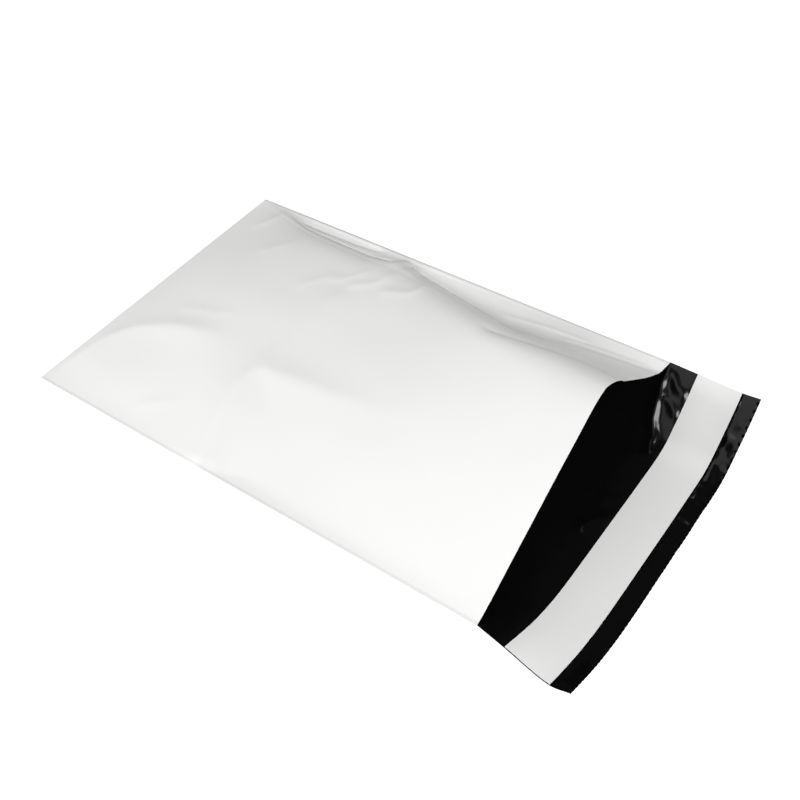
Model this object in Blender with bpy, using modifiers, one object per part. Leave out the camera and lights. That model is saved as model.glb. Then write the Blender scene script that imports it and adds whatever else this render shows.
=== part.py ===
"""Poly mailer bag: one blank of film, folded and side-welded, with its glue line and release liner.

The bag is empty and lies on its back with the mouth sprung open and the flap laid out.
Metres, +Z up. +X runs from the closed fold to the flap and +Y from the near weld to the far one.
The origin is on the table, under the middle of the pocket, where the back panel lies flat.
"""
import math

import bmesh
import bpy
import numpy as np

# The flat blank
BAG_WIDTH = 0.1524
POCKET_LENGTH = 0.2286
FLAP_LENGTH = 0.0395
FILM_GAUGE = 0.0000635

# The glue line and the liner that covers it
LINER_WIDTH = 0.0193
LINER_TO_CUT_EDGE = 0.0078
LINER_GAUGE = 0.00008
GLUE_WIDTH = 0.0140
GLUE_GAUGE = 0.0001
GLUE_END_MARGIN = 0.0040
SEAT_GAP = 0.0002

# The side welds, which rise from the closed fold to the corners of the mouth
NEAR_CORNER_LIFT = 0.0143
FAR_CORNER_LIFT = 0.0245
CORNER_DRAW_IN = 0.0036
CORNER_SHORTENING = 0.0006

# The back panel: a floor that lies on the table, with a strip that climbs to each weld
FLOOR_SHORTENING = -0.0008
NEAR_CLIMB_AT_FOLD = 0.0120
NEAR_CLIMB_AT_MOUTH = 0.0300
FAR_CLIMB_AT_FOLD = 0.0100
FAR_CLIMB_AT_MOUTH = 0.0240
NEAR_CLIMB_ROUNDING = 0.0160
FAR_CLIMB_ROUNDING = 0.0070

# The front panel: its crown near the closed fold and its ridge, highest at the mouth
CROWN_HEIGHT = 0.0060
CROWN_RISE_LENGTH = 0.0140
RIDGE_HEIGHT = 0.0500
RIDGE_SETBACK = 0.0069
RIDGE_ROUNDING = 0.0110
VALLEY_ROUNDING = 0.0030
MOUTH_RIDGE_ROUNDING = 0.0160
MOUTH_VALLEY_ROUNDING = 0.0140
MOUTH_SWELL_START = 0.72

# The ridge as (share of pocket length, share of width, share of ridge height)
RIDGE_SHARES = (
    (0.000, 0.965, 0.000),
    (0.090, 0.945, 0.075),
    (0.200, 0.905, 0.190),
    (0.340, 0.893, 0.275),
    (0.465, 0.890, 0.345),
    (0.570, 0.850, 0.450),
    (0.700, 0.780, 0.640),
    (0.810, 0.735, 0.790),
    (0.900, 0.705, 0.910),
    (1.000, 0.662, 1.060),
)
# The valley between ridge and far weld as (share of pocket length, share of width, share of ridge
# height above the straight line from weld to weld, share of the crease's depth). It meets the weld
# at the pinch, 0.417 of the way to the mouth.
VALLEY_SHARES = (
    (0.000, 0.990, 0.000, 0.0),
    (0.100, 0.966, 0.020, 0.1),
    (0.160, 0.933, 0.060, 0.7),
    (0.220, 0.924, 0.078, 1.0),
    (0.360, 0.925, 0.070, 1.0),
    (0.390, 0.938, 0.050, 0.8),
    (0.417, 0.978, 0.018, 0.4),
    (0.440, 0.962, 0.022, 0.8),
    (0.530, 0.936, 0.036, 1.0),
    (0.620, 0.908, 0.052, 1.0),
    (0.700, 0.878, 0.086, 0.9),
    (0.775, 0.870, 0.120, 0.6),
    (0.850, 0.885, 0.105, 0.2),
    (0.920, 0.905, 0.060, 0.0),
    (1.000, 0.925, 0.015, 0.0),
)
VALLEY_CREASE_DEPTH = 0.0017
VALLEY_CREASE_NEAR_REACH = 0.0030
VALLEY_CREASE_FAR_REACH = 0.0120

# The panel flattens towards its stiff near weld
NEAR_SAG_SLOPE = 0.16
NEAR_SAG_REACH = 0.0120
NEAR_SAG_START = 0.0400

# Folds over the front panel as (height, reach to the near side, reach to the far side), (fade at the
# start, fade at the end), then their places in plan from the closed fold towards the mouth
CREST_CREASE = (
    (-0.0015, 0.0026, 0.0050), (0.014, 0.001),
    ((0.0360, 0.0390), (0.0690, 0.0397), (0.0880, 0.0413), (0.1250, 0.0290)),
)
PINCH_DENT = (
    (-0.0010, 0.0090, 0.0025), (0.008, 0.008),
    ((-0.0380, 0.0640), (-0.0210, 0.0685), (-0.0060, 0.0640)),
)
CLOSED_CORNER_FOLD = (
    (0.0016, 0.0090, 0.0060), (0.022, 0.030),
    ((-0.1125, -0.0720), (-0.1064, -0.0451), (-0.0981, -0.0332), (-0.0759, -0.0228), (-0.0500, -0.0170)),
)
PANEL_FOLD = (
    (0.0013, 0.0160, 0.0090), (0.006, 0.060),
    ((-0.0202, -0.0745), (-0.0279, -0.0527), (-0.0318, -0.0309), (-0.0249, -0.0237), (0.0226, -0.0180),
     (0.0807, -0.0087)),
)
WELD_MARGIN = 0.0030

# The flap's side edges as (share of flap length, share of the corner's lift, share of its draw-in)
NEAR_FLAP_SHARES = ((0.00, 1.00, 1.00), (0.31, 1.01, 0.50), (0.79, 0.63, 0.40), (1.00, 0.73, 0.65))
FAR_FLAP_SHARES = ((0.00, 1.00, 1.00), (0.31, 1.02, 0.94), (0.79, 1.01, 0.58), (1.00, 1.10, 0.78))

# Columns of the mesh from the near weld to the ridge, on to the valley and on to the far weld, and
# where ridge and valley start on the closed fold
COLUMN_COUNTS = (17, 11, 5)
FOLD_KNOTS = (0.72, 0.93)
FRONT_BLEND = 0.10
BACK_BLEND = 0.60
POCKET_ROWS = 43
LINER_ROWS = 3

# Points of a rounded corner, and the share of a side that it may take up
CURVE_STEPS = 8
LONGEST_CURVE = 0.48


def clear_scene():
    for old in list(bpy.data.objects):
        bpy.data.objects.remove(old)


def through(stations, at):
    """A smooth curve through the stations, read at one place along them."""
    places = [station[0] for station in stations]
    last = len(stations) - 2
    left = max(0, min(last, int(np.searchsorted(places, at)) - 1))
    right = left + 1

    def slope(index, value):
        before = max(0, index - 1)
        after = min(len(stations) - 1, index + 1)
        return (stations[after][value] - stations[before][value]) / (places[after] - places[before])

    span = places[right] - places[left]
    part = (at - places[left]) / span
    values = []
    for value in range(1, len(stations[0])):
        start = stations[left][value]
        end = stations[right][value]
        values.append(
            start * (2 * part**3 - 3 * part**2 + 1)
            + end * (3 * part**2 - 2 * part**3)
            + span * slope(left, value) * (part**3 - 2 * part**2 + part)
            + span * slope(right, value) * (part**3 - part**2)
        )
    return values


def smooth(value):
    """Eases from 0 to 1 as the value goes from 0 to 1."""
    held = np.clip(value, 0, 1)
    return held * held * (3 - 2 * held)


def distances(line):
    """Distance of each point from the first, along the line."""
    steps = np.linalg.norm(np.diff(line, axis=0), axis=1)
    return np.concatenate(([0.0], np.cumsum(steps)))


def at_distances(line, places):
    """Points of the line at the given distances along it."""
    lengths = distances(line)
    return np.stack([np.interp(places, lengths, line[:, axis]) for axis in range(line.shape[1])], axis=1)


def rounded(corners, roundings):
    """The line through the corners with the inner ones rounded, and where each curve has its middle."""
    corners = [np.array(corner) for corner in corners]
    line = [corners[0]]
    middles = []
    for before, corner, after, rounding in zip(corners, corners[1:], corners[2:], roundings):
        into = before - corner
        out = after - corner
        reach_in = min(rounding, LONGEST_CURVE * np.linalg.norm(into))
        reach_out = min(rounding, LONGEST_CURVE * np.linalg.norm(out))
        start = corner + into * reach_in / np.linalg.norm(into)
        end = corner + out * reach_out / np.linalg.norm(out)
        middles.append(len(line) + CURVE_STEPS // 2)
        for step in range(CURVE_STEPS + 1):
            part = step / CURVE_STEPS
            line.append((1 - part)**2 * start + 2 * part * (1 - part) * corner + part**2 * end)
    line.append(corners[-1])
    return np.array(line), middles


def across_row(line, middles, nearness):
    """The row's columns: one runs through the middle of each curve, and at the fold they are even."""
    lengths = distances(line)
    shares = [0.0]
    knots = [fold + (lengths[middle] / lengths[-1] - fold) * nearness
             for middle, fold in zip(middles, FOLD_KNOTS)]
    for start, end, count in zip([0.0] + knots, knots + [1.0], COLUMN_COUNTS):
        shares += list(np.linspace(start, end, count + 1)[1:])
    return at_distances(line, np.array(shares) * lengths[-1])


def fold_lift(row, fold):
    """How far a fold lifts each point of a row; it fades at both of its ends."""
    (height, near_reach, far_reach), (start_fade, end_fade), places = fold
    line = np.array(places)
    lengths = distances(line)
    gap = np.full(len(row), np.inf)
    side = np.zeros(len(row))
    walked = np.zeros(len(row))
    for start, run, length in zip(line, np.diff(line, axis=0), lengths):
        off = row[:, :2] - start
        part = np.clip(off @ run / (run @ run), 0, 1)
        away = np.linalg.norm(off - part[:, None] * run, axis=1)
        nearer = away < gap
        gap = np.where(nearer, away, gap)
        side = np.where(nearer, run[0] * off[:, 1] - run[1] * off[:, 0], side)
        walked = np.where(nearer, length + part * np.linalg.norm(run), walked)
    reach = np.where(side > 0, far_reach, near_reach)
    ends = smooth(walked / start_fade) * smooth((lengths[-1] - walked) / end_fade)
    return height * ends * np.exp(-gap / reach)


def weld_ends(along):
    """The two ends of a section as (y, z), at a distance along the bag from the closed fold."""
    out = max(along - POCKET_LENGTH, 0) / FLAP_LENGTH
    pocket = min(along / POCKET_LENGTH, 1)
    near_lift, near_draw = [pocket * share for share in through(NEAR_FLAP_SHARES, out)]
    far_lift, far_draw = [pocket * share for share in through(FAR_FLAP_SHARES, out)]
    near = (CORNER_DRAW_IN * near_draw - BAG_WIDTH / 2, FILM_GAUGE + NEAR_CORNER_LIFT * near_lift)
    far = (BAG_WIDTH / 2 - CORNER_DRAW_IN * far_draw, FILM_GAUGE + FAR_CORNER_LIFT * far_lift)
    return near, far


def centred(row):
    """A section moved so that the origin is under the middle of the pocket."""
    return row - np.array((POCKET_LENGTH / 2, 0, 0))


def back_section(along):
    """A row of the back panel or the flap."""
    near, far = weld_ends(along)
    pocket = min(along / POCKET_LENGTH, 1.0)
    near_climb = NEAR_CLIMB_AT_FOLD + (NEAR_CLIMB_AT_MOUTH - NEAR_CLIMB_AT_FOLD) * pocket
    far_climb = FAR_CLIMB_AT_FOLD + (FAR_CLIMB_AT_MOUTH - FAR_CLIMB_AT_FOLD) * pocket
    corners = (near, (near[0] + near_climb, FILM_GAUGE), (far[0] - far_climb, FILM_GAUGE), far)
    line, middles = rounded(corners, (NEAR_CLIMB_ROUNDING, FAR_CLIMB_ROUNDING))
    row = across_row(line, middles, smooth(pocket / BACK_BLEND))
    across = (row[:, 0] - near[0]) / (far[0] - near[0])
    middle = 1 - (2 * across - 1)**4
    reach = POCKET_LENGTH - CORNER_SHORTENING + (CORNER_SHORTENING - FLOOR_SHORTENING) * middle
    return centred(np.column_stack((reach * along / POCKET_LENGTH, row)))


def front_section(along):
    """A row of the front panel: up from the near weld to the ridge, down to the valley, the far weld."""
    near, far = weld_ends(along)
    pocket = along / POCKET_LENGTH
    width = far[0] - near[0]
    ridge_share, ridge_lift = through(RIDGE_SHARES, pocket)
    valley_share, valley_lift, crease_share = through(VALLEY_SHARES, pocket)
    ridge = (near[0] + ridge_share * width, FILM_GAUGE + RIDGE_HEIGHT * ridge_lift)
    chord = near[1] + (far[1] - near[1]) * valley_share
    valley = (near[0] + valley_share * width, chord + RIDGE_HEIGHT * valley_lift)
    swell = smooth((pocket - MOUTH_SWELL_START) / (1 - MOUTH_SWELL_START))
    ridge_rounding = RIDGE_ROUNDING + (MOUTH_RIDGE_ROUNDING - RIDGE_ROUNDING) * swell
    valley_rounding = VALLEY_ROUNDING + (MOUTH_VALLEY_ROUNDING - VALLEY_ROUNDING) * swell
    line, middles = rounded((near, ridge, valley, far), (ridge_rounding, valley_rounding))
    row = across_row(line, middles, smooth(pocket / FRONT_BLEND))
    crown = CROWN_HEIGHT * (1 - math.exp(-along / CROWN_RISE_LENGTH)) * (1 - pocket**2)
    across = np.clip((row[:, 0] - near[0]) / (ridge[0] - near[0]), 0, 1)
    row[:, 1] += crown * 4 * across * (1 - across)
    towards_ridge = np.minimum(across, (far[0] - row[:, 0]) / (far[0] - ridge[0]))
    ahead = pocket * (POCKET_LENGTH - CORNER_SHORTENING - RIDGE_SETBACK * towards_ridge)
    past_valley = row[:, 0] - valley[0]
    reach = np.where(past_valley > 0, VALLEY_CREASE_FAR_REACH, VALLEY_CREASE_NEAR_REACH)
    lift = -VALLEY_CREASE_DEPTH * crease_share * np.exp(-np.abs(past_valley) / reach)
    from_near_weld = distances(row)
    sag_slope = NEAR_SAG_SLOPE * smooth(along / NEAR_SAG_START)
    lift -= sag_slope * from_near_weld * np.exp(-from_near_weld / NEAR_SAG_REACH)
    section = centred(np.column_stack((ahead, row)))
    for fold in (CREST_CREASE, PINCH_DENT, CLOSED_CORNER_FOLD, PANEL_FOLD):
        lift += fold_lift(section, fold)
    inside = smooth((row[:, 0] - near[0]) / WELD_MARGIN) * smooth((far[0] - row[:, 0]) / WELD_MARGIN)
    section[:, 2] += lift * inside * smooth(along / (2 * WELD_MARGIN))
    return section


def surface_from_rows(rows):
    """A grid with one row of points for each section."""
    bm = bmesh.new()
    across = len(rows[0]) - 1
    down = len(rows) - 1
    bmesh.ops.create_grid(bm, x_segments=down, y_segments=across, size=0.5)
    for vert in bm.verts:
        row = round((vert.co.x + 0.5) * down)
        column = round((vert.co.y + 0.5) * across)
        vert.co = rows[row][column]
    return bm


def make_material(name, colour, roughness):
    material = bpy.data.materials.new(name)
    material.use_nodes = True
    shader = material.node_tree.nodes["Principled BSDF"]
    shader.inputs["Base Color"].default_value = (*colour, 1)
    shader.inputs["Roughness"].default_value = roughness
    shader.inputs["Metallic"].default_value = 0
    return material


def make_object(name, bm, collection, material, thickness):
    mesh = bpy.data.meshes.new(name)
    bm.to_mesh(mesh)
    bm.free()
    mesh.shade_smooth()
    made = bpy.data.objects.new(name, mesh)
    made.data.materials.append(material)
    collection.objects.link(made)
    wall = made.modifiers.new("wall", "SOLIDIFY")
    wall.thickness = thickness
    wall.offset = 1
    wall.use_even_offset = False
    return made


def liner_start():
    """Distance of the liner's inner edge from the closed fold."""
    return POCKET_LENGTH + FLAP_LENGTH - LINER_TO_CUT_EDGE - LINER_WIDTH


def flap_stations():
    """Distances of the flap's rows from the closed fold; the liner's edges fall on rows."""
    start = liner_start()
    cut_edge = POCKET_LENGTH + FLAP_LENGTH
    stations = [(POCKET_LENGTH + start) / 2]
    stations += [start + LINER_WIDTH * step / LINER_ROWS for step in range(LINER_ROWS + 1)]
    stations += [cut_edge - LINER_TO_CUT_EDGE / 2, cut_edge]
    return stations


def make_film(collection):
    """The blank from the flap's edge over the closed fold to the front panel's mouth edge."""
    pocket = [POCKET_LENGTH * row / POCKET_ROWS for row in range(POCKET_ROWS + 1)]
    rows = [back_section(along) for along in reversed(pocket + flap_stations())]
    rows += [front_section(along) for along in pocket[1:]]
    bm = surface_from_rows(rows)
    bmesh.ops.remove_doubles(bm, verts=bm.verts, dist=FILM_GAUGE / 20)
    bmesh.ops.recalc_face_normals(bm, faces=bm.faces)
    lowest = min(bm.faces, key=lambda face: face.calc_center_median().z)
    if lowest.normal.z > 0:
        bmesh.ops.reverse_faces(bm, faces=bm.faces)
    white = make_material("white_film", (0.88, 0.88, 0.88), 0.35)
    return make_object("mailer_film", bm, collection, white, FILM_GAUGE)


def trimmed(row, margin):
    """The row cut back by the margin at both ends; the points past it gather on the new ends."""
    lengths = distances(row)
    return at_distances(row, np.clip(lengths, margin, lengths[-1] - margin))


def make_strip(name, start, width, end_margin, lift, collection, material, thickness):
    """A strip that lies along the flap's inner side, lifted off it by its seat."""
    stations = [start + width * row / LINER_ROWS for row in range(LINER_ROWS + 1)]
    bm = surface_from_rows([trimmed(back_section(along), end_margin) for along in stations])
    bmesh.ops.remove_doubles(bm, verts=bm.verts, dist=FILM_GAUGE / 20)
    bmesh.ops.recalc_face_normals(bm, faces=bm.faces)
    if next(iter(bm.faces)).normal.z < 0:
        bmesh.ops.reverse_faces(bm, faces=bm.faces)
    bm.normal_update()
    for vert in bm.verts:
        vert.co += vert.normal * lift
    return make_object(name, bm, collection, material, thickness)


def main():
    clear_scene()
    bag = bpy.data.collections.new("poly_mailer_bag")
    bpy.context.scene.collection.children.link(bag)
    make_film(bag)
    glue = make_material("hot_melt", (0.80, 0.78, 0.70), 0.30)
    liner = make_material("release_paper", (0.66, 0.66, 0.66), 0.55)
    glue_start = liner_start() + (LINER_WIDTH - GLUE_WIDTH) / 2
    make_strip("adhesive_strip", glue_start, GLUE_WIDTH, GLUE_END_MARGIN, SEAT_GAP,
               bag, glue, GLUE_GAUGE)
    liner_lift = SEAT_GAP + GLUE_GAUGE + SEAT_GAP
    make_strip("release_liner", liner_start(), LINER_WIDTH, 0, liner_lift,
               bag, liner, LINER_GAUGE)


main()
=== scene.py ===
"""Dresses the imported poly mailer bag: its film with every crease, the glue line, the liner, the studio.

Metres, +Z up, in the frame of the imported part: +X from the closed fold to the flap, +Y from the
near weld to the far one, and the origin on the table under the middle of the pocket.
"""
import math

import bmesh
import bpy
import numpy as np
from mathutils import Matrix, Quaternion, Vector, noise


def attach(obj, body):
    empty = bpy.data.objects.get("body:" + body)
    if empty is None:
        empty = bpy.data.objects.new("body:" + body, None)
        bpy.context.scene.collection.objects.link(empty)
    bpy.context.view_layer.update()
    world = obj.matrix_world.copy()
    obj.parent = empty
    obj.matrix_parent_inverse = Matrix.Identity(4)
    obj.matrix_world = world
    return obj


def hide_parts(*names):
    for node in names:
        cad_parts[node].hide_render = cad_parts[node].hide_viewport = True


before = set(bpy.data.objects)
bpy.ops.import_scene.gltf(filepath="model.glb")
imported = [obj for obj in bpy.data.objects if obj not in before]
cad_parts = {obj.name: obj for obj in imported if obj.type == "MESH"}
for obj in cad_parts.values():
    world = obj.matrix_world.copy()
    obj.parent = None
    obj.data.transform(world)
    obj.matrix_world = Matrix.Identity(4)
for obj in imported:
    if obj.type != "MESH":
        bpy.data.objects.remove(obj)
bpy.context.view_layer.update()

MM = 0.001

# The flat blank and the strip on it
BAG_WIDTH = 152.4 * MM
POCKET_LENGTH = 228.6 * MM
FLAP_LENGTH = 39.5 * MM
FILM_GAUGE = 0.0635 * MM
LINER_WIDTH = 19.3 * MM
LINER_TO_CUT_EDGE = 7.8 * MM
LINER_GAUGE = 0.08 * MM
GLUE_WIDTH = 14.0 * MM
GLUE_GAUGE = 0.1 * MM
GLUE_END_MARGIN = 4.0 * MM
SEAT_GAP = 0.2 * MM

# The side welds
NEAR_CORNER_LIFT = 14.3 * MM
FAR_CORNER_LIFT = 24.5 * MM
CORNER_DRAW_IN = 3.6 * MM
CORNER_SHORTENING = 0.6 * MM

# The back panel
FLOOR_SHORTENING = -0.8 * MM
NEAR_CLIMB_AT_FOLD = 12.0 * MM
NEAR_CLIMB_AT_MOUTH = 30.0 * MM
FAR_CLIMB_AT_FOLD = 10.0 * MM
FAR_CLIMB_AT_MOUTH = 24.0 * MM
NEAR_CLIMB_ROUNDING = 16.0 * MM
FAR_CLIMB_ROUNDING = 7.0 * MM

# The front panel
CROWN_HEIGHT = 6.0 * MM
CROWN_RISE_LENGTH = 14.0 * MM
RIDGE_HEIGHT = 50.0 * MM
RIDGE_SETBACK = 6.9 * MM
RIDGE_ROUNDING = 11.0 * MM
VALLEY_ROUNDING = 3.0 * MM
MOUTH_RIDGE_ROUNDING = 16.0 * MM
MOUTH_VALLEY_ROUNDING = 14.0 * MM
MOUTH_SWELL_START = 0.72

# The ridge as (share of pocket length, share of width, share of ridge height)
RIDGE_SHARES = (
    (0.000, 0.965, 0.000),
    (0.090, 0.945, 0.075),
    (0.200, 0.905, 0.190),
    (0.340, 0.893, 0.275),
    (0.465, 0.890, 0.345),
    (0.570, 0.850, 0.450),
    (0.700, 0.780, 0.640),
    (0.810, 0.735, 0.790),
    (0.900, 0.705, 0.910),
    (1.000, 0.662, 1.060),
)
# The valley between ridge and far weld as (share of pocket length, share of width, share of ridge
# height above the straight line from weld to weld, share of the crease's depth)
VALLEY_SHARES = (
    (0.000, 0.990, 0.000, 0.0),
    (0.100, 0.966, 0.020, 0.1),
    (0.160, 0.943, 0.055, 0.7),
    (0.220, 0.937, 0.068, 1.0),
    (0.360, 0.938, 0.060, 1.0),
    (0.390, 0.946, 0.046, 0.8),
    (0.417, 0.978, 0.018, 0.4),
    (0.440, 0.962, 0.022, 0.8),
    (0.530, 0.936, 0.036, 1.0),
    (0.620, 0.908, 0.052, 1.0),
    (0.700, 0.878, 0.086, 0.9),
    (0.775, 0.870, 0.120, 0.6),
    (0.850, 0.885, 0.105, 0.2),
    (0.920, 0.905, 0.060, 0.0),
    (1.000, 0.925, 0.015, 0.0),
)
# The crease along the valley: a broad dip with a narrow line at its bottom
VALLEY_CREASE_DEPTH = 1.9 * MM
VALLEY_CREASE_NEAR_REACH = 6.0 * MM
VALLEY_LINE_DEPTH = 0.7 * MM
VALLEY_LINE_REACH = 0.8 * MM
# Past the valley the film falls this much steeper and then flattens towards the far weld. The sag is
# full from this share of the pocket's length on.
FAR_SIDE_SAG_SLOPE = 0.3
FAR_SIDE_SAG_START = 0.15

# The flap's side edges as (share of flap length, share of the corner's lift, share of its draw-in)
NEAR_FLAP_SHARES = ((0.00, 1.00, 1.00), (0.31, 1.01, 0.50), (0.79, 0.63, 0.40), (1.00, 0.73, 0.65))
FAR_FLAP_SHARES = ((0.00, 1.00, 1.00), (0.31, 1.02, 0.94), (0.79, 1.01, 0.58), (1.00, 1.10, 0.78))

# Folds as (height, reach to the near side, reach to the far side, softness), (fade at the start, fade
# at the end), then their places in plan from the closed fold towards the mouth, in millimetres. With a
# softness of 0 the fold is a sharp crease; with 1 or more it is a soft wrinkle.
FRONT_FOLDS = (
    # the crease under the crest, out of the mouth
    ((-1.4, 2.6, 14.0, 0.0), (14, 8),
     ((36.0, 39.0), (54.6, 38.8), (69.0, 39.7), (88.0, 41.3), (96.0, 40.2), (107.0, 36.2), (114.0, 33.5))),
    # the bulge that falls to the weld at the pinch
    ((1.0, 7.0, 2.5, 0.5), (8, 8), ((-38.0, 65.0), (-21.0, 69.0), (-6.0, 65.0))),
    # the groove between the valley and the far weld, before the pinch
    ((-0.6, 0.9, 2.8, 0.3), (10, 8), ((-88.0, 69.8), (-70.0, 69.4), (-50.0, 69.8), (-32.0, 71.2))),
    # two fine folds between the valley and the far weld, past the pinch
    ((0.25, 0.8, 0.8, 1.0), (8, 8), ((36.0, 62.4), (43.1, 62.7), (62.5, 64.2), (75.6, 64.6), (84.0, 65.0))),
    ((0.25, 0.8, 0.8, 1.0), (8, 8), ((64.0, 59.5), (71.2, 60.6), (89.2, 63.2), (102.2, 64.8), (110.0, 65.5))),
    # the fold that runs out of the near corner of the closed end
    ((1.6, 9.0, 6.0, 0.15), (22, 30),
     ((-112.5, -72.0), (-109.2, -57.1), (-106.4, -45.1), (-98.1, -33.2),
      (-85.3, -26.0), (-75.9, -22.8), (-66.3, -20.4), (-50.0, -17.0))),
    # the fold that runs up from the near weld and bends along the panel to the mouth
    ((1.9, 10.0, 6.5, 0.3), (2, 150),
     ((-20.2, -74.5), (-23.5, -65.2), (-27.9, -52.7), (-31.6, -38.9), (-31.8, -30.9), (-29.8, -25.9),
      (-24.9, -23.7), (-15.7, -22.0), (22.6, -18.0), (54.7, -12.2), (80.7, -8.7))),
    # its soft continuation towards the pinch
    ((0.45, 3.0, 3.0, 1.0), (8, 12), ((-30.5, -28.0), (-28.4, -1.4), (-30.3, 22.7), (-27.0, 36.0))),
    # wrinkles of the closed end
    ((0.5, 1.5, 1.5, 1.0), (5, 12), ((-101.2, 52.9), (-98.2, 63.1), (-96.5, 76.0))),
    ((0.3, 1.5, 1.5, 1.0), (5, 5), ((-84.0, 35.0), (-81.7, 38.8), (-74.8, 47.9), (-72.0, 52.0))),
    ((0.3, 1.0, 1.0, 1.0), (4, 5), ((-66.0, -67.0), (-61.5, -62.7), (-57.0, -59.2), (-48.0, -53.0))),
    # soft wrinkles that radiate from the pinch and lie over the panel
    ((0.35, 1.0, 1.0, 1.0), (4, 4), ((-38.0, 36.0), (-33.6, 40.9), (-30.3, 45.7), (-27.0, 52.0))),
    ((0.45, 1.2, 1.2, 1.0), (5, 5),
     ((-31.0, 36.0), (-25.6, 39.9), (-19.9, 44.0), (-18.4, 49.0), (-19.0, 57.0))),
    ((0.50, 1.3, 1.3, 1.0), (5, 6), ((-16.0, 40.0), (-8.3, 43.5), (-2.3, 45.9), (0.0, 49.7), (0.5, 60.0))),
    ((0.30, 1.4, 1.4, 1.0), (6, 6), ((-90.0, -14.0), (-78.3, -10.2), (-68.3, -8.0), (-60.0, -3.0))),
    ((0.35, 1.4, 1.4, 1.0), (6, 6), ((-50.0, 22.0), (-47.4, 26.9), (-42.0, 37.1), (-34.0, 39.3))),
    # the small crease out of the near weld
    ((-0.35, 1.0, 1.0, 0.5), (2, 5), ((-19.0, -76.0), (-16.2, -70.7), (-12.2, -67.9), (-6.0, -66.0))),
)
INNER_FLAP_FOLDS = (
    # the folds out of the far corner of the mouth
    ((1.1, 1.3, 0.9, 1.0), (3, 1),
     ((115.0, 72.0), (114.3, 66.3), (115.8, 60.9), (117.8, 54.8),
      (121.5, 50.8), (121.7, 47.9), (123.5, 44.8), (128.0, 45.0))),
    ((0.7, 0.8, 0.8, 1.0), (3, 1),
     ((115.0, 71.0), (119.4, 67.7), (120.5, 66.7), (123.0, 65.9), (128.0, 64.0))),
    ((0.6, 0.8, 0.8, 1.0), (2, 1),
     ((115.8, 60.9), (117.3, 63.4), (119.2, 62.0), (121.5, 61.4), (128.0, 58.0))),
    # dents beside the liner
    ((0.5, 1.2, 1.0, 1.0), (5, 1), ((112.0, 40.2), (117.1, 40.2), (121.0, 40.1), (129.0, 42.1))),
    ((1.1, 3.4, 2.0, 0.6), (5, 1), ((117.0, -8.0), (121.0, 0.0), (125.0, 4.0), (129.0, 6.0))),
    ((0.5, 1.4, 1.2, 1.0), (5, 1), ((115.0, 12.0), (121.3, 14.0), (129.0, 18.0))),
)
OUTER_FLAP_FOLDS = (
    # folds across the margin past the liner
    ((1.0, 3.5, 2.0, 0.5), (1, 1), ((144.0, 60.5), (150.0, 60.0), (158.0, 57.5))),
    ((0.8, 2.2, 1.5, 0.5), (1, 1), ((144.0, 53.0), (148.0, 49.0), (151.0, 44.0))),
    ((1.3, 5.5, 1.6, 0.4), (1, 1), ((144.0, 33.0), (150.0, 31.5), (158.0, 29.0))),
    ((0.5, 1.2, 0.8, 0.8), (1, 1), ((144.0, 23.0), (150.0, 22.5), (158.0, 22.0))),
    ((1.0, 3.8, 1.2, 0.4), (1, 1), ((144.0, 8.5), (150.0, 8.0), (158.0, 5.0))),
    ((0.5, 3.0, 2.5, 0.8), (1, 1), ((144.0, -6.0), (158.0, -9.0))),
)
# The liner keeps the film under it flat, up to this far past its edges
LINER_HOLD = 1.5 * MM
# Folds start this far inside the welds
WELD_MARGIN = 3.0 * MM
# The panel sags inside its stiff near weld, as (share of pocket length, slope of the sag)
NEAR_SAG_SLOPES = ((0.00, 0.00), (0.17, 0.14), (0.34, 0.14), (0.48, 0.34), (0.80, 0.36), (1.00, 0.24))
NEAR_SAG_REACH = 10.0 * MM
# The film's slow rise and fall
UNDULATION_HEIGHT = 0.45 * MM
UNDULATION_LENGTH = 40.0 * MM
UNDULATION_STRETCH = 1.6
UNDULATION_MARGIN = 22.0 * MM

# Rows of the film's mesh; the flap's finer rows start a little before the mouth
FRONT_ROWS = 200
BACK_ROWS = 34
FLAP_ROWS = 70
BACK_ROWS_END = 205.0 * MM
# Rows of the glue line and of the liner
STRIP_ROWS = 12
# Columns from the near weld to the first knot, to the second and to the far weld. At the closed fold the
# knots are at these shares of the row, and past this share of the pocket on the ridge and the valley.
COLUMN_COUNTS = (64, 44, 28)
FOLD_KNOTS = (0.72, 0.93)
FRONT_BLEND = 0.10
# Points of the blank that are closer than this are one
MERGE_DISTANCE = FILM_GAUGE / 20

# Points of a rounded corner, and the share of a side that it may take up
CURVE_STEPS = 12
LONGEST_CURVE = 0.48

# Folds past this angle are sharp
SHARP_FOLD = math.radians(50)

# The bead on the sealed edges, in millimetres
BEAD_WIDTH = 0.9
BEAD_FADE = 0.5
BEAD_GRAIN = 1.2
# The puckers inside the bead, in millimetres; the stretch draws them out across the weld
PUCKER_LENGTH = 2.5
PUCKER_STRETCH = 0.25
PUCKER_START = 0.5
PUCKER_REACH = 7.0
PUCKER_HEIGHT = 0.03
# The grain of the white outside, in millimetres
GRAIN_SIZE = 1.6
GRAIN_HEIGHT = 0.004
# The crinkles of the black inside, higher past the liner, in millimetres
CRINKLE_LENGTH = 11.0
CRINKLE_HEIGHT = 0.30
CRUMPLE_HEIGHT = 1.70
CRUMPLE_FADE = 1.0
# The dull ticks that the cutter left on the flap's edge, in millimetres
TICK_SPACING = 3.4
TICK_LENGTH = 1.0
TICK_FADE = 0.2
# A tick is where the wave along the edge rises past the first height, and is full at the second
TICK_WAVE = (0.2, 0.5)

# The cut edge of the flap has teeth one row deep
TOOTH_DEPTH = 0.12 * MM

# Optical values
POLYETHYLENE_IOR = 1.51
PAPER_IOR = 1.5
SPECULAR_LEVEL = 0.5

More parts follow.
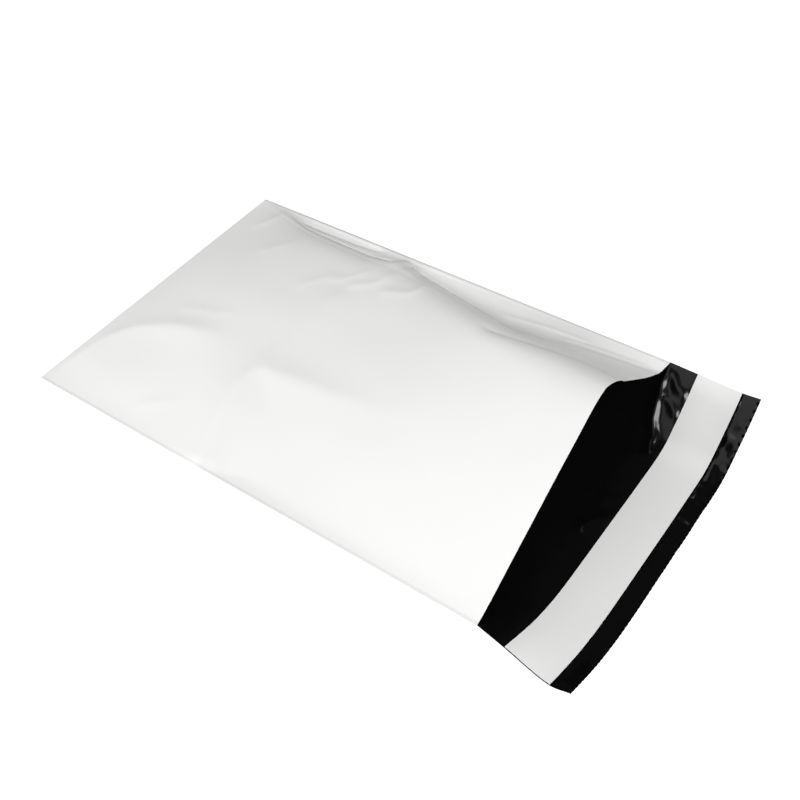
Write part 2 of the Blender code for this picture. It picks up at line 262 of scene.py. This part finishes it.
# The colour sockets of a Mix node, whose names its other sockets share
MIX_FIRST = 6
MIX_SECOND = 7
MIX_RESULT = 2

# The settings of a Map Range node that eases at both ends
EASED = {"interpolation_type": "SMOOTHSTEP"}

# The tabletop, and the light that it and the room add
FLOOR_HALF = 0.75
FLOOR_DROP = 0.3 * MM
FLOOR_GLOW = 0.72
ROOM_LIGHT = 0.02

# The camera and the photograph's frame
FRAME_PIXELS = 800
FOCAL_PIXELS = 1101.9
SENSOR_WIDTH = 36.0
CAMERA_PLACE = (0.20675, -0.24557, 0.36241)
CAMERA_AIM = (-0.38581, 0.52690, -0.75732)
CAMERA_ROLL = -0.00269

# The lamps as (name, azimuth from +X, elevation, diameter, watts), all at one distance
LAMP_AIM = (0.02, 0.0, 0.01)
LAMP_DISTANCE = 1.0
LAMPS = (
    ("flap_side", 0, 40, 0.45, 7.6),
    ("low_fold_side", 210, 15, 0.45, 6.4),
    ("broad_near_side", 240, 42, 0.9, 1.35),
    ("broad_overhead", 185, 62, 0.8, 1.2),
    ("near_side", 302, 44, 0.3, 2.0),
)


def through(stations, at):
    """A smooth curve through the stations, read at one place along them."""
    places = [station[0] for station in stations]
    last = len(stations) - 2
    left = max(0, min(last, int(np.searchsorted(places, at)) - 1))
    right = left + 1

    def slope(index, value):
        before = max(0, index - 1)
        after = min(len(stations) - 1, index + 1)
        return (stations[after][value] - stations[before][value]) / (places[after] - places[before])

    span = places[right] - places[left]
    part = (at - places[left]) / span
    values = []
    for value in range(1, len(stations[0])):
        start = stations[left][value]
        end = stations[right][value]
        values.append(
            start * (2 * part**3 - 3 * part**2 + 1)
            + end * (3 * part**2 - 2 * part**3)
            + span * slope(left, value) * (part**3 - 2 * part**2 + part)
            + span * slope(right, value) * (part**3 - part**2)
        )
    return values


def smooth(value):
    """Eases from 0 to 1 as the value goes from 0 to 1."""
    held = np.clip(value, 0, 1)
    return held * held * (3 - 2 * held)


def distances(line):
    """Distance of each point from the first, along the line."""
    steps = np.linalg.norm(np.diff(line, axis=0), axis=1)
    return np.concatenate(([0.0], np.cumsum(steps)))


def at_distances(line, places):
    """Points of the line at the given distances along it."""
    lengths = distances(line)
    return np.stack([np.interp(places, lengths, line[:, axis]) for axis in range(line.shape[1])], axis=1)


def rounded(corners, roundings):
    """The line through the corners with the inner ones rounded, and where each curve has its middle."""
    corners = [np.array(corner) for corner in corners]
    line = [corners[0]]
    middles = []
    for before, corner, after, rounding in zip(corners, corners[1:], corners[2:], roundings):
        into = before - corner
        out = after - corner
        reach_in = min(rounding, LONGEST_CURVE * np.linalg.norm(into))
        reach_out = min(rounding, LONGEST_CURVE * np.linalg.norm(out))
        start = corner + into * reach_in / np.linalg.norm(into)
        end = corner + out * reach_out / np.linalg.norm(out)
        middles.append(len(line) + CURVE_STEPS // 2)
        for step in range(CURVE_STEPS + 1):
            part = step / CURVE_STEPS
            line.append((1 - part)**2 * start + 2 * part * (1 - part) * corner + part**2 * end)
    line.append(corners[-1])
    return np.array(line), middles


def across_row(line, knots):
    """The row's columns, with as many up to each knot as the counts say."""
    shares = [0.0]
    for start, end, count in zip([0.0] + knots, knots + [1.0], COLUMN_COUNTS):
        shares += list(np.linspace(start, end, count + 1)[1:])
    return at_distances(line, np.array(shares) * distances(line)[-1])


def even_knots():
    """Knots that space the columns evenly."""
    ends = np.cumsum(COLUMN_COUNTS)
    return [end / ends[-1] for end in ends[:-1]]


def fold_lift(row, fold):
    """How far a fold lifts each point of a row; it fades at both of its ends."""
    (height, near_reach, far_reach, softness), (start_fade, end_fade), places = fold
    line = np.array(places) * MM
    lengths = distances(line)
    gap = np.full(len(row), np.inf)
    side = np.zeros(len(row))
    walked = np.zeros(len(row))
    for start, run, length in zip(line, np.diff(line, axis=0), lengths):
        off = row[:, :2] - start
        part = np.clip(off @ run / (run @ run), 0, 1)
        away = np.linalg.norm(off - part[:, None] * run, axis=1)
        nearer = away < gap
        gap = np.where(nearer, away, gap)
        side = np.where(nearer, run[0] * off[:, 1] - run[1] * off[:, 0], side)
        walked = np.where(nearer, length + part * np.linalg.norm(run), walked)
    reach = np.where(side > 0, far_reach, near_reach) * MM
    ends = smooth(walked / (start_fade * MM)) * smooth((lengths[-1] - walked) / (end_fade * MM))
    return height * MM * ends * np.exp(softness - np.hypot(gap / reach, softness))


def inside_welds(row, margin):
    """Eases from 0 on the two ends of a row to 1 at that margin from them."""
    return smooth((row[:, 1] - row[0, 1]) / margin) * smooth((row[-1, 1] - row[:, 1]) / margin)


def undulation(row, along):
    """The film's slow rise and fall, from smooth noise that fades towards the welds and the closed fold."""
    places = row / UNDULATION_LENGTH
    heights = [noise.noise(Vector((x, UNDULATION_STRETCH * y, 0.0))) for x, y, _ in places]
    fade = inside_welds(row, UNDULATION_MARGIN) * smooth(along / UNDULATION_MARGIN)
    return UNDULATION_HEIGHT * fade * np.array(heights)


def weld_ends(along):
    """The two ends of a section as (y, z), at a distance along the bag from the closed fold."""
    out = max(along - POCKET_LENGTH, 0) / FLAP_LENGTH
    pocket = min(along / POCKET_LENGTH, 1)
    near_lift, near_draw = [pocket * share for share in through(NEAR_FLAP_SHARES, out)]
    far_lift, far_draw = [pocket * share for share in through(FAR_FLAP_SHARES, out)]
    near = (CORNER_DRAW_IN * near_draw - BAG_WIDTH / 2, FILM_GAUGE + NEAR_CORNER_LIFT * near_lift)
    far = (BAG_WIDTH / 2 - CORNER_DRAW_IN * far_draw, FILM_GAUGE + FAR_CORNER_LIFT * far_lift)
    return near, far


def centred(row):
    """A section moved so that the origin is under the middle of the pocket."""
    return row - np.array((POCKET_LENGTH / 2, 0, 0))


def back_section(along):
    """A row of the back panel or the flap, with the folds that show past the mouth."""
    near, far = weld_ends(along)
    pocket = min(along / POCKET_LENGTH, 1.0)
    near_climb = NEAR_CLIMB_AT_FOLD + (NEAR_CLIMB_AT_MOUTH - NEAR_CLIMB_AT_FOLD) * pocket
    far_climb = FAR_CLIMB_AT_FOLD + (FAR_CLIMB_AT_MOUTH - FAR_CLIMB_AT_FOLD) * pocket
    corners = (near, (near[0] + near_climb, FILM_GAUGE), (far[0] - far_climb, FILM_GAUGE), far)
    line, _ = rounded(corners, (NEAR_CLIMB_ROUNDING, FAR_CLIMB_ROUNDING))
    knots = [fold + (even - fold) * smooth(pocket) for fold, even in zip(FOLD_KNOTS, even_knots())]
    row = across_row(line, knots)
    across = (row[:, 0] - near[0]) / (far[0] - near[0])
    middle = 1 - (2 * across - 1)**4
    reach = POCKET_LENGTH - CORNER_SHORTENING + (CORNER_SHORTENING - FLOOR_SHORTENING) * middle
    section = centred(np.column_stack((reach * along / POCKET_LENGTH, row)))
    if along > BACK_ROWS_END:
        before_liner = smooth((liner_start() - along) / LINER_HOLD)
        past_liner = smooth((along - liner_start() - LINER_WIDTH) / LINER_HOLD)
        lift = before_liner * sum(fold_lift(section, fold) for fold in INNER_FLAP_FOLDS)
        lift += past_liner * sum(fold_lift(section, fold) for fold in OUTER_FLAP_FOLDS)
        section[:, 2] += lift * inside_welds(section, WELD_MARGIN)
    return section


def front_section(along):
    """A row of the front panel: up from the near weld to the ridge, down to the valley, the far weld."""
    near, far = weld_ends(along)
    pocket = along / POCKET_LENGTH
    width = far[0] - near[0]
    ridge_share, ridge_lift = through(RIDGE_SHARES, pocket)
    valley_share, valley_lift, crease_share = through(VALLEY_SHARES, pocket)
    ridge = (near[0] + ridge_share * width, FILM_GAUGE + RIDGE_HEIGHT * ridge_lift)
    chord = near[1] + (far[1] - near[1]) * valley_share
    valley = (near[0] + valley_share * width, chord + RIDGE_HEIGHT * valley_lift)
    swell = smooth((pocket - MOUTH_SWELL_START) / (1 - MOUTH_SWELL_START))
    ridge_rounding = RIDGE_ROUNDING + (MOUTH_RIDGE_ROUNDING - RIDGE_ROUNDING) * swell
    valley_rounding = VALLEY_ROUNDING + (MOUTH_VALLEY_ROUNDING - VALLEY_ROUNDING) * swell
    line, middles = rounded((near, ridge, valley, far), (ridge_rounding, valley_rounding))
    lengths = distances(line)
    knots = [fold + (lengths[middle] / lengths[-1] - fold) * smooth(pocket / FRONT_BLEND)
             for middle, fold in zip(middles, FOLD_KNOTS)]
    row = across_row(line, knots)
    crown = CROWN_HEIGHT * (1 - math.exp(-along / CROWN_RISE_LENGTH)) * (1 - pocket**2)
    across = np.clip((row[:, 0] - near[0]) / (ridge[0] - near[0]), 0, 1)
    row[:, 1] += crown * 4 * across * (1 - across)
    towards_ridge = np.minimum(across, (far[0] - row[:, 0]) / (far[0] - ridge[0]))
    ahead = pocket * (POCKET_LENGTH - CORNER_SHORTENING - RIDGE_SETBACK * towards_ridge)
    section = centred(np.column_stack((ahead, row)))
    past_valley = row[:, 0] - valley[0]
    far_side = np.clip(past_valley / (far[0] - valley[0]), 0, 1)
    dip = np.exp(np.minimum(past_valley, 0) / VALLEY_CREASE_NEAR_REACH) * (1 - far_side)
    line_at_bottom = np.exp(-np.abs(past_valley) / VALLEY_LINE_REACH)
    lift = -crease_share * (VALLEY_CREASE_DEPTH * dip + VALLEY_LINE_DEPTH * line_at_bottom)
    far_sag = FAR_SIDE_SAG_SLOPE * smooth(pocket / FAR_SIDE_SAG_START) * (far[0] - valley[0])
    lift -= far_sag * far_side * (1 - far_side)**2
    lift += undulation(section, along)
    from_near_weld = distances(row)
    [near_sag_slope] = through(NEAR_SAG_SLOPES, pocket)
    lift -= near_sag_slope * from_near_weld * np.exp(-from_near_weld / NEAR_SAG_REACH)
    for fold in FRONT_FOLDS:
        lift += fold_lift(section, fold)
    section[:, 2] += lift * inside_welds(section, WELD_MARGIN) * smooth(along / (2 * WELD_MARGIN))
    return section


def surface_from_rows(rows, stations):
    """A grid with one row of points for each section. Its map is the flat film in millimetres: the
    distance from the closed fold, then the distance from the near weld."""
    bm = bmesh.new()
    across = len(rows[0]) - 1
    down = len(rows) - 1
    bmesh.ops.create_grid(bm, x_segments=down, y_segments=across, size=0.5, calc_uvs=True)
    uv = bm.loops.layers.uv.verify()
    widths = [distances(row) for row in rows]
    places = {}
    for vert in bm.verts:
        row = round((vert.co.x + 0.5) * down)
        column = round((vert.co.y + 0.5) * across)
        across_film = BAG_WIDTH * widths[row][column] / widths[row][-1]
        places[vert] = Vector((stations[row], across_film)) / MM
        vert.co = rows[row][column]
    for face in bm.faces:
        for loop in face.loops:
            loop[uv].uv = places[loop.vert]
    return bm


def linear(hex_colour):
    """An sRGB hex colour as linear red, green, blue and alpha."""
    channels = [int(hex_colour[place:place + 2], 16) / 255 for place in (1, 3, 5)]
    turned = [c / 12.92 if c <= 0.04045 else ((c + 0.055) / 1.055)**2.4 for c in channels]
    return (*turned, 1.0)


def add(tree, kind, settings=None, inputs=None):
    """A node of that kind with its settings. Each input is linked to a socket or holds a plain value."""
    made = tree.nodes.new(kind)
    for name, value in (settings or {}).items():
        setattr(made, name, value)
    for name, value in (inputs or {}).items():
        if isinstance(value, bpy.types.NodeSocket):
            tree.links.new(value, made.inputs[name])
        else:
            made.inputs[name].default_value = value
    return made


def new_material(name):
    """A material, its node tree and its shader."""
    material = bpy.data.materials.new(name)
    material.use_nodes = True
    tree = material.node_tree
    return material, tree, tree.nodes["Principled BSDF"]


def scaled_noise(tree, places, size, detail, stretch=(1, 1, 1)):
    """Noise with grains of that size; places are in millimetres, and stretch multiplies its scale."""
    mapped = add(tree, "ShaderNodeMapping", None, {"Vector": places, "Scale": stretch})
    grains = add(tree, "ShaderNodeTexNoise", None,
                 {"Vector": mapped.outputs["Vector"], "Scale": 1 / size, "Detail": detail})
    return grains.outputs["Fac"]


def weld_distance(tree, across):
    """Distance in millimetres to the nearer weld, from the distance across the film."""
    half = BAG_WIDTH / MM / 2
    past_centre = add(tree, "ShaderNodeMath", {"operation": "SUBTRACT"}, {0: across, 1: half})
    off_centre = add(tree, "ShaderNodeMath", {"operation": "ABSOLUTE"}, {0: past_centre.outputs["Value"]})
    to_weld = add(tree, "ShaderNodeMath", {"operation": "SUBTRACT"},
                  {0: half, 1: off_centre.outputs["Value"]})
    return to_weld.outputs["Value"]


def white_polyethylene():
    """Blown film, white outside: satin and slightly uneven. The hot knife that cut and sealed the sides
    left a thin grey bead on the very edge, ragged by a fraction of a millimetre, where black shows
    through the thinned white; inside it the seal has pulled fine puckers that catch the light."""
    material, tree, shader = new_material("white_blown_polyethylene")
    shader.inputs["Roughness"].default_value = 0.32
    shader.inputs["IOR"].default_value = POLYETHYLENE_IOR
    flat = add(tree, "ShaderNodeTexCoord").outputs["UV"]
    sides = add(tree, "ShaderNodeSeparateXYZ", None, {"Vector": flat})
    to_weld = weld_distance(tree, sides.outputs["Y"])

    ragged = add(tree, "ShaderNodeMath", {"operation": "SUBTRACT"},
                 {0: to_weld, 1: scaled_noise(tree, flat, BEAD_GRAIN, detail=2)})
    bead = add(tree, "ShaderNodeMapRange", EASED,
               {"Value": ragged.outputs["Value"], "From Min": BEAD_WIDTH - BEAD_FADE,
                "From Max": BEAD_WIDTH, "To Min": 1, "To Max": 0})
    colour = add(tree, "ShaderNodeMix", {"data_type": "RGBA"},
                 {"Factor": bead.outputs["Result"], MIX_FIRST: linear("#F1F1F0"),
                  MIX_SECOND: linear("#E4E4E3")})
    tree.links.new(colour.outputs[MIX_RESULT], shader.inputs["Base Color"])

    pucker_height = add(tree, "ShaderNodeMapRange", EASED,
                        {"Value": to_weld, "From Min": PUCKER_START, "From Max": PUCKER_REACH,
                         "To Min": PUCKER_HEIGHT, "To Max": 0})
    puckers = add(tree, "ShaderNodeMath", {"operation": "MULTIPLY"},
                  {0: scaled_noise(tree, flat, PUCKER_LENGTH, detail=2, stretch=(1, PUCKER_STRETCH, 1)),
                   1: pucker_height.outputs["Result"]})
    relief = add(tree, "ShaderNodeMath", {"operation": "MULTIPLY_ADD"},
                 {0: scaled_noise(tree, flat, GRAIN_SIZE, detail=3), 1: GRAIN_HEIGHT,
                  2: puckers.outputs["Value"]})
    bump = add(tree, "ShaderNodeBump", None, {"Distance": MM, "Height": relief.outputs["Value"]})
    tree.links.new(bump.outputs["Normal"], shader.inputs["Normal"])
    return material


def black_polyethylene():
    """The black inner layer of the same film: glossy and a little crumpled, so that each crinkle picks
    up the soft lamps. Past the liner the stiff glue line has crumpled it more, and dull ticks from the
    cutter line its edge."""
    material, tree, shader = new_material("black_blown_polyethylene")
    shader.inputs["Base Color"].default_value = linear("#0A0A0B")
    shader.inputs["Roughness"].default_value = 0.16
    shader.inputs["IOR"].default_value = POLYETHYLENE_IOR
    flat = add(tree, "ShaderNodeTexCoord").outputs["UV"]
    sides = add(tree, "ShaderNodeSeparateXYZ", None, {"Vector": flat})
    from_fold = add(tree, "ShaderNodeMath", {"operation": "MULTIPLY"}, {0: sides.outputs["X"], 1: -1})
    cut_edge = (POCKET_LENGTH + FLAP_LENGTH) / MM
    past_liner = cut_edge - LINER_TO_CUT_EDGE / MM

    height = add(tree, "ShaderNodeMapRange", EASED,
                 {"Value": from_fold.outputs["Value"], "From Min": past_liner - CRUMPLE_FADE,
                  "From Max": past_liner + CRUMPLE_FADE, "To Min": CRINKLE_HEIGHT,
                  "To Max": CRUMPLE_HEIGHT})
    crinkles = add(tree, "ShaderNodeMath", {"operation": "MULTIPLY"},
                   {0: scaled_noise(tree, flat, CRINKLE_LENGTH, detail=1.5), 1: height.outputs["Result"]})
    bump = add(tree, "ShaderNodeBump", None, {"Distance": MM, "Height": crinkles.outputs["Value"]})
    tree.links.new(bump.outputs["Normal"], shader.inputs["Normal"])

    turns = add(tree, "ShaderNodeMath", {"operation": "MULTIPLY"},
                {0: sides.outputs["Y"], 1: 2 * math.pi / TICK_SPACING})
    wave = add(tree, "ShaderNodeMath", {"operation": "SINE"}, {0: turns.outputs["Value"]})
    crests = add(tree, "ShaderNodeMapRange", EASED,
                 {"Value": wave.outputs["Value"], "From Min": TICK_WAVE[0], "From Max": TICK_WAVE[1]})
    at_edge = add(tree, "ShaderNodeMapRange", EASED,
                  {"Value": from_fold.outputs["Value"], "From Min": cut_edge - TICK_LENGTH - TICK_FADE,
                   "From Max": cut_edge - TICK_LENGTH})
    ticks = add(tree, "ShaderNodeMath", {"operation": "MULTIPLY"},
                {0: crests.outputs["Result"], 1: at_edge.outputs["Result"]})
    gloss = add(tree, "ShaderNodeMapRange", EASED,
                {"Value": ticks.outputs["Value"], "To Min": SPECULAR_LEVEL, "To Max": 0})
    tree.links.new(gloss.outputs["Result"], shader.inputs["Specular IOR Level"])
    return material


def release_paper():
    """Siliconised paper liner: pale grey, calendered smooth."""
    material, tree, shader = new_material("siliconised_release_paper")
    shader.inputs["Base Color"].default_value = linear("#E7E7E6")
    shader.inputs["Roughness"].default_value = 0.5
    shader.inputs["IOR"].default_value = PAPER_IOR
    return material


def hot_melt():
    """Hot-melt glue: clear, amber, tacky and glossy."""
    material, tree, shader = new_material("hot_melt_glue")
    shader.inputs["Base Color"].default_value = linear("#D9CFA8")
    shader.inputs["Roughness"].default_value = 0.15
    return material


def make_piece(name, bm, materials, thickness):
    """The surface with the film's thickness, added on the side that its faces point to. Cut edges, welds
    and the closed fold stay sharp."""
    for edge in bm.edges:
        edge.smooth = not edge.is_boundary and edge.calc_face_angle(0) < SHARP_FOLD
    mesh = bpy.data.meshes.new(name)
    bm.to_mesh(mesh)
    bm.free()
    mesh.shade_smooth()
    made = bpy.data.objects.new(name, mesh)
    for material in materials:
        made.data.materials.append(material)
    bpy.context.scene.collection.objects.link(made)
    wall = made.modifiers.new("wall", "SOLIDIFY")
    wall.thickness = thickness
    wall.offset = 1
    wall.use_even_offset = False
    wall.material_offset = len(materials) - 1
    wall.material_offset_rim = 0
    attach(made, "root")
    return made


def liner_start():
    """Distance of the liner's inner edge from the closed fold."""
    return POCKET_LENGTH + FLAP_LENGTH - LINER_TO_CUT_EDGE - LINER_WIDTH


def make_film(materials):
    """The blank from the flap's edge over the closed fold to the front panel's mouth edge."""
    back = [BACK_ROWS_END * row / BACK_ROWS for row in range(BACK_ROWS)]
    flap = list(np.linspace(BACK_ROWS_END, POCKET_LENGTH + FLAP_LENGTH, FLAP_ROWS + 1))
    front = list(np.linspace(0, POCKET_LENGTH, FRONT_ROWS + 1))[1:]
    rows = [back_section(along) for along in reversed(back + flap)]
    rows[0][::2, 0] += TOOTH_DEPTH
    rows += [front_section(along) for along in front]
    bm = surface_from_rows(rows, [-along for along in reversed(back + flap)] + front)
    bmesh.ops.remove_doubles(bm, verts=bm.verts, dist=MERGE_DISTANCE)
    bmesh.ops.recalc_face_normals(bm, faces=bm.faces)
    lowest = min(bm.faces, key=lambda face: face.calc_center_median().z)
    if lowest.normal.z > 0:
        bmesh.ops.reverse_faces(bm, faces=bm.faces)
    made = make_piece("film", bm, materials, FILM_GAUGE)
    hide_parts("mailer_film")
    return made


def trimmed(row, margin):
    """The row cut back by the margin at both ends; the points past it gather on the new ends."""
    lengths = distances(row)
    return at_distances(row, np.clip(lengths, margin, lengths[-1] - margin))


def make_strip(name, start, width, end_margin, lift, material, thickness):
    """A strip that lies along the flap's inner side, lifted off it by its seat."""
    stations = [start + width * row / STRIP_ROWS for row in range(STRIP_ROWS + 1)]
    bm = surface_from_rows([trimmed(back_section(along), end_margin) for along in stations], stations)
    bmesh.ops.remove_doubles(bm, verts=bm.verts, dist=MERGE_DISTANCE)
    bmesh.ops.recalc_face_normals(bm, faces=bm.faces)
    if next(iter(bm.faces)).normal.z < 0:
        bmesh.ops.reverse_faces(bm, faces=bm.faces)
    bm.normal_update()
    for vert in bm.verts:
        vert.co += vert.normal * lift
    return make_piece(name, bm, [material], thickness)


def make_camera():
    """The camera that was solved from the photograph."""
    data = bpy.data.cameras.new("camera")
    data.sensor_width = SENSOR_WIDTH
    data.lens = FOCAL_PIXELS / FRAME_PIXELS * SENSOR_WIDTH
    camera = bpy.data.objects.new("camera", data)
    camera.location = CAMERA_PLACE
    rolled = Quaternion((0, 0, 1), CAMERA_ROLL)
    camera.rotation_euler = (Vector(CAMERA_AIM).to_track_quat("-Z", "Y") @ rolled).to_euler()
    bpy.context.scene.collection.objects.link(camera)
    bpy.context.scene.camera = camera


def make_lamp(name, azimuth, elevation, size, power):
    """A soft round lamp that looks at the middle of the bag from that direction."""
    data = bpy.data.lights.new(name, "AREA")
    data.shape = "DISK"
    data.size = size
    data.energy = power
    level = math.cos(math.radians(elevation))
    towards = Vector((math.cos(math.radians(azimuth)) * level, math.sin(math.radians(azimuth)) * level,
                      math.sin(math.radians(elevation))))
    lamp = bpy.data.objects.new(name, data)
    lamp.location = Vector(LAMP_AIM) + LAMP_DISTANCE * towards
    lamp.rotation_euler = (-towards).to_track_quat("-Z", "Y").to_euler()
    bpy.context.scene.collection.objects.link(lamp)


def make_floor():
    """A pale tabletop that shows white to the camera and keeps the bag's shadow."""
    bm = bmesh.new()
    bmesh.ops.create_grid(bm, x_segments=1, y_segments=1, size=FLOOR_HALF)
    for vert in bm.verts:
        vert.co.z = -FLOOR_DROP
    mesh = bpy.data.meshes.new("floor")
    bm.to_mesh(mesh)
    bm.free()
    floor = bpy.data.objects.new("floor", mesh)
    bpy.context.scene.collection.objects.link(floor)
    material, tree, shader = new_material("white_tabletop")
    shader.inputs["Base Color"].default_value = linear("#C8C8C8")
    shader.inputs["Roughness"].default_value = 0.9
    shader.inputs["Emission Color"].default_value = (1, 1, 1, 1)
    path = add(tree, "ShaderNodeLightPath")
    glow = add(tree, "ShaderNodeMath", {"operation": "MULTIPLY"},
               {0: path.outputs["Is Camera Ray"], 1: FLOOR_GLOW})
    tree.links.new(glow.outputs["Value"], shader.inputs["Emission Strength"])
    mesh.materials.append(material)


def make_world():
    """A room that the camera sees white and that gives a little light."""
    world = bpy.data.worlds.new("studio")
    bpy.context.scene.world = world
    world.use_nodes = True
    tree = world.node_tree
    background = tree.nodes["Background"]
    path = add(tree, "ShaderNodeLightPath")
    tone = add(tree, "ShaderNodeMix", {"data_type": "RGBA"},
               {"Factor": path.outputs["Is Camera Ray"],
                MIX_FIRST: (ROOM_LIGHT, ROOM_LIGHT, ROOM_LIGHT, 1), MIX_SECOND: (1, 1, 1, 1)})
    tree.links.new(tone.outputs[MIX_RESULT], background.inputs["Color"])


def main():
    """Makes the three pieces, the camera, the lamps and the tabletop."""
    white = white_polyethylene()
    black = black_polyethylene()
    make_film([white, black])
    glue_start = liner_start() + (LINER_WIDTH - GLUE_WIDTH) / 2
    glue = make_strip("glue_line", glue_start, GLUE_WIDTH, GLUE_END_MARGIN, SEAT_GAP, hot_melt(), GLUE_GAUGE)
    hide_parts("adhesive_strip")
    liner_lift = SEAT_GAP + GLUE_GAUGE + SEAT_GAP
    liner = make_strip("liner", liner_start(), LINER_WIDTH, 0, liner_lift, release_paper(), LINER_GAUGE)
    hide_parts("release_liner")
    make_camera()
    for lamp in LAMPS:
        make_lamp(*lamp)
    make_floor()
    make_world()
    scene = bpy.context.scene
    scene.view_settings.view_transform = "Standard"


main()
